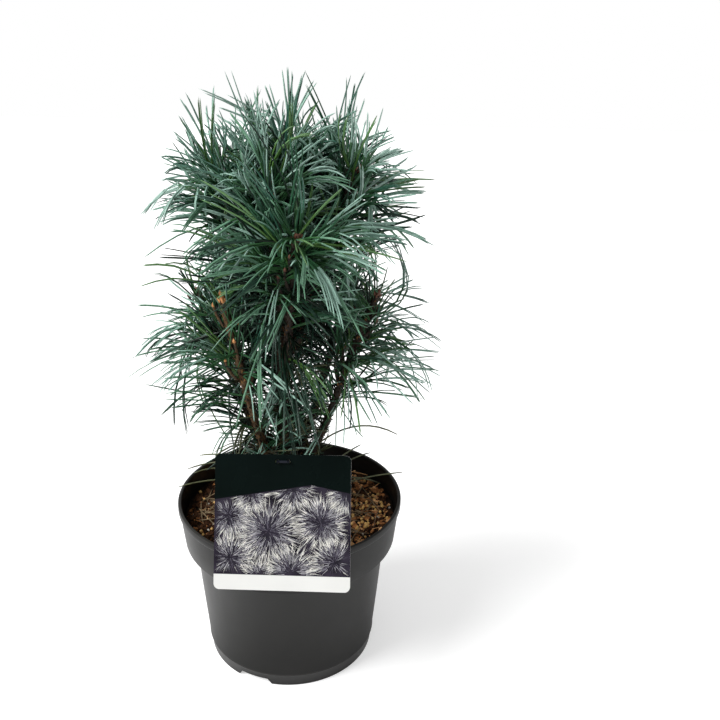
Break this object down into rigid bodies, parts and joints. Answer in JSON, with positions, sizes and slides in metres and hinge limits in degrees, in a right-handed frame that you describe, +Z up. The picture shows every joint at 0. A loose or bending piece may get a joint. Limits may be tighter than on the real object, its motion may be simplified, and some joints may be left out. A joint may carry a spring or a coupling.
{
  "type": "potted fastigiate pine",
  "caption": "Young columnar pine with upright leaders and long blue-green needles, in a round dark plastic nursery pot, with a plant card tied to the stem.",
  "frame": {"origin": "on the ground under the pot, at the middle of its flat underside and of the plant's box", "axes": "+Z up along the pot's axis and the trunk, -Y towards the front with the plant card, +X to the viewer's right"},
  "size_m": [0.2889, 0.2849, 0.577],
  "materials": {
    "pot_plastic": "satin moulded black plastic",
    "soil": "moist bark and peat compost",
    "bark": "scaly young bark",
    "needles": "blue-green needles with a waxy bloom",
    "card": "printed plastic sheet",
    "tie": "thin dark plastic strap"
  },
  "bodies": {
    "root": {"pot": "pot_plastic", "soil": "soil", "trunk": "bark", "plant_card": "card", "card_tie": "tie", "foliage_trunk": "needles", "bough_low_left": "bark", "foliage_low_left": "needles", "bough_low_right": "bark", "foliage_low_right": "needles", "bough_low_back_left": "bark", "foliage_low_back_left": "needles", "bough_low_back": "bark", "foliage_low_back": "needles", "bough_low_back_right": "bark", "foliage_low_back_right": "needles", "bough_high_front_left": "bark", "foliage_high_front_left": "needles", "bough_high_front": "bark", "foliage_high_front": "needles", "bough_high_right": "bark", "foliage_high_right": "needles", "bough_high_left": "bark", "foliage_high_left": "needles", "bough_high_back_left": "bark", "foliage_high_back_left": "needles", "bough_high_back_right": "bark", "foliage_high_back_right": "needles", "bough_leader": "bark", "foliage_leader": "needles"}
  },
  "joints": []
}
